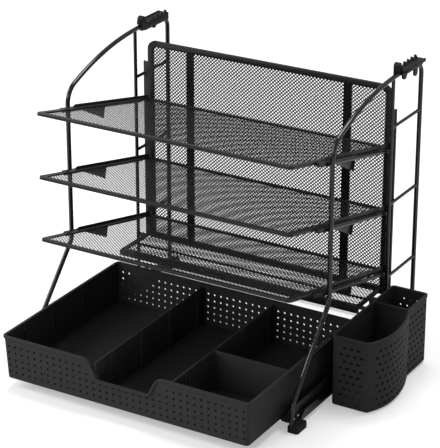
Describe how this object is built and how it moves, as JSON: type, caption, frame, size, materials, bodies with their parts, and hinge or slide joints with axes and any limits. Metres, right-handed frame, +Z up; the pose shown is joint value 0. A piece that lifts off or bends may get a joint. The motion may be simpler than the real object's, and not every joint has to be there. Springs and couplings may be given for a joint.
{
  "type": "envelope sorter with drawer",
  "caption": "Desk sorter of black wire and mesh with sloping letter trays, hanging folder rack, divided plastic drawer and clip-on pen cup.",
  "frame": {"origin": "on the desk top, under the centre of the whole footprint", "axes": "+X to the object's right side, where the pen cup hangs; +Y from the drawer's front to the rear; +Z up"},
  "size_m": [0.3848, 0.3622, 0.3258],
  "materials": {
    "wire_black": "satin black powder coat on round wire",
    "sheet_black": "satin black powder coat on pressed sheet",
    "mesh_black": "satin black powder coat on expanded mesh",
    "drawer_plastic": "fine-grained moulded charcoal black",
    "cup_plastic": "fine-grained moulded charcoal black",
    "foot_plastic": "moulded black, slightly soft",
    "comb_plastic": "moulded black"
  },
  "bodies": {
    "frame": {"side_frame_right": "wire_black", "base_bar_right": "sheet_black", "mid_post_right": "wire_black", "side_rungs_right": "wire_black", "drawer_runner_right": "sheet_black", "front_foot_right": "foot_plastic", "rear_foot_right": "foot_plastic", "comb_rail_right": "comb_plastic", "side_frame_left": "wire_black", "base_bar_left": "sheet_black", "mid_post_left": "wire_black", "side_rungs_left": "wire_black", "drawer_runner_left": "sheet_black", "front_foot_left": "foot_plastic", "rear_foot_left": "foot_plastic", "comb_rail_left": "comb_plastic", "cup_rail": "wire_black", "rear_cross_wire": "wire_black", "tray_border_1": "sheet_black", "tray_mesh_1": "mesh_black", "tray_rail_right_1": "wire_black", "tray_bracket_right_1": "sheet_black", "tray_rail_left_1": "wire_black", "tray_bracket_left_1": "sheet_black", "tray_border_2": "sheet_black", "tray_mesh_2": "mesh_black", "tray_rail_right_2": "wire_black", "tray_bracket_right_2": "sheet_black", "tray_rail_left_2": "wire_black", "tray_bracket_left_2": "sheet_black", "tray_border_3": "sheet_black", "tray_mesh_3": "mesh_black", "tray_rail_right_3": "wire_black", "tray_bracket_right_3": "sheet_black", "tray_rail_left_3": "wire_black", "tray_bracket_left_3": "sheet_black", "panel_frame": "sheet_black", "panel_mesh": "mesh_black", "panel_stiffener_right": "sheet_black", "panel_stiffener_left": "sheet_black", "shelf_frame": "sheet_black", "shelf_mesh": "mesh_black"},
    "drawer": {"drawer_box": "drawer_plastic"},
    "divider_left": {"drawer_divider_left": "drawer_plastic"},
    "divider_right": {"drawer_divider_right": "drawer_plastic"},
    "divider_cross": {"drawer_cross_divider": "drawer_plastic"},
    "pen_cup": {"pen_cup": "cup_plastic", "pen_cup_divider": "cup_plastic"}
  },
  "joints": [
    {"name": "drawer_slide", "type": "slide", "parent": "frame", "child": "drawer", "axis": [0, -1, 0], "range_m": [-0.075, 0.08]},
    {"name": "divider_left_lift", "type": "slide", "parent": "drawer", "child": "divider_left", "axis": [0, 0, 1], "range_m": [0, 0.045]},
    {"name": "divider_right_lift", "type": "slide", "parent": "drawer", "child": "divider_right", "axis": [0, 0, 1], "range_m": [0, 0.045]},
    {"name": "divider_cross_lift", "type": "slide", "parent": "drawer", "child": "divider_cross", "axis": [0, 0, 1], "range_m": [0, 0.05]},
    {"name": "pen_cup_lift", "type": "slide", "parent": "frame", "child": "pen_cup", "axis": [0, 0, 1], "range_m": [0, 0.02]}
  ]
}
